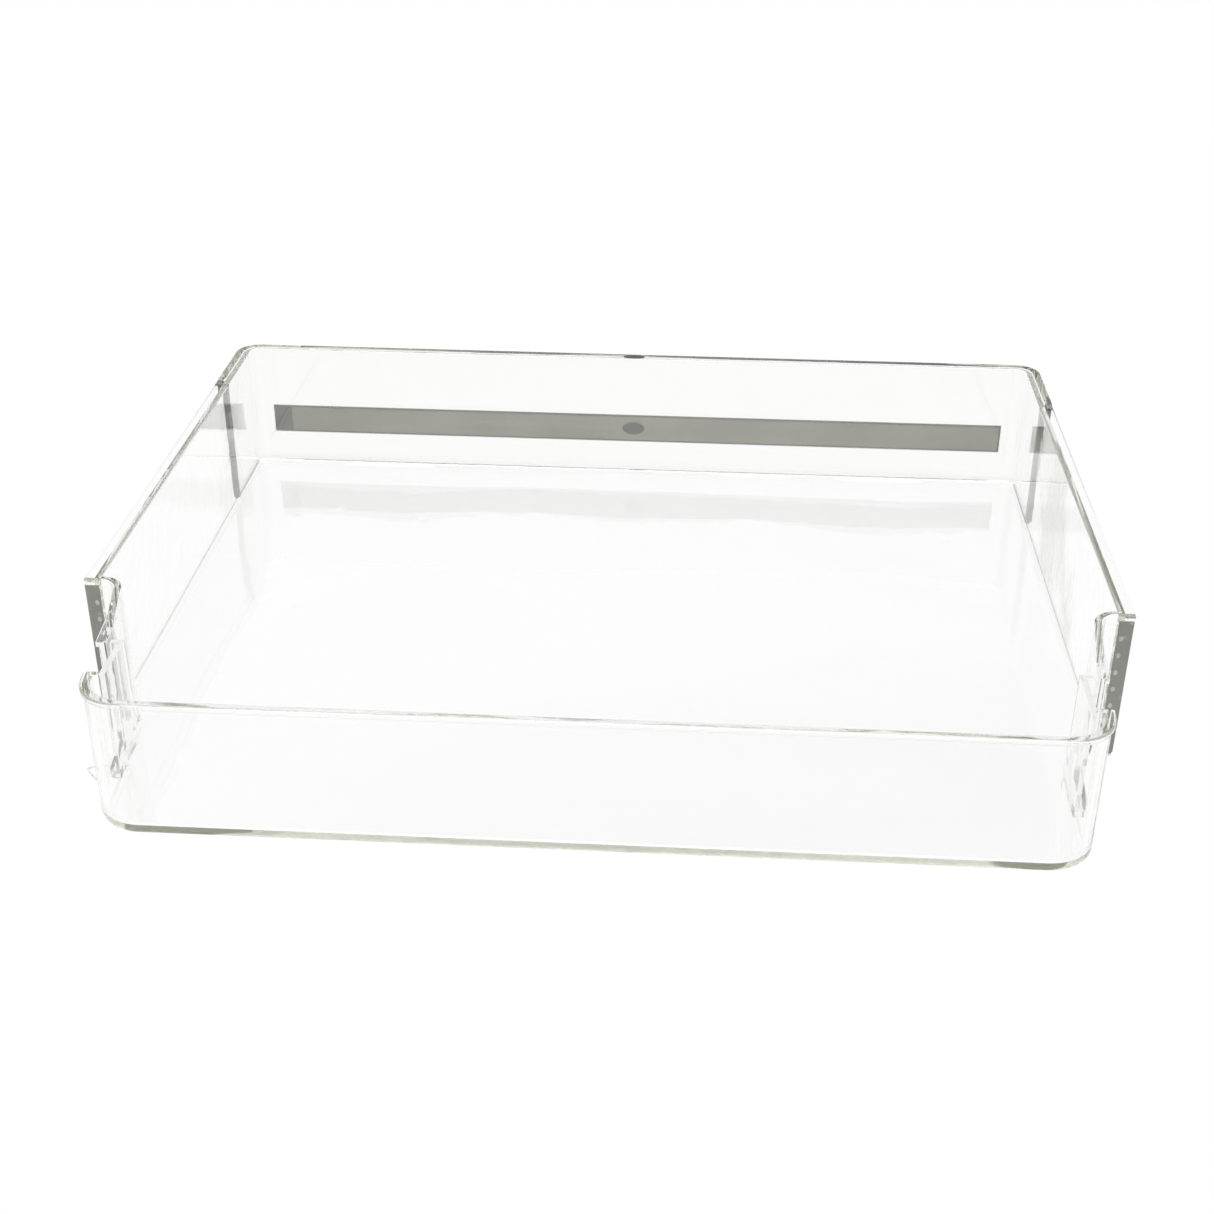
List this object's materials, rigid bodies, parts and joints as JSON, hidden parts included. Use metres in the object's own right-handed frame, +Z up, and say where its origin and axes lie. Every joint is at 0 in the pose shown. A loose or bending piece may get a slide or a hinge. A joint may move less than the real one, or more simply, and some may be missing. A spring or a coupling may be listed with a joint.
{
  "type": "drawer tray",
  "caption": "Shallow clear plastic drawer tray with a clip-on front cover, a grey trim strip and hanging slots; holds paper, letters or small packs.",
  "frame": {"origin": "under the middle of the tray, on the surface it stands on", "axes": "+X across the tray, +Y towards the tall front with the trim strip, +Z up"},
  "size_m": [0.3852, 0.318, 0.0616],
  "materials": {
    "clear_tub": "clear, polished",
    "clear_cover": "clear, polished",
    "trim_grey": "satin silver grey",
    "adhesive": "translucent film",
    "end_grey": "satin grey"
  },
  "bodies": {
    "root": {"tray_body": "clear_tub", "front_cover": "clear_cover", "trim_strip": "trim_grey", "trim_adhesive": "adhesive", "left_end_strip": "end_grey", "right_end_strip": "end_grey"}
  },
  "joints": []
}
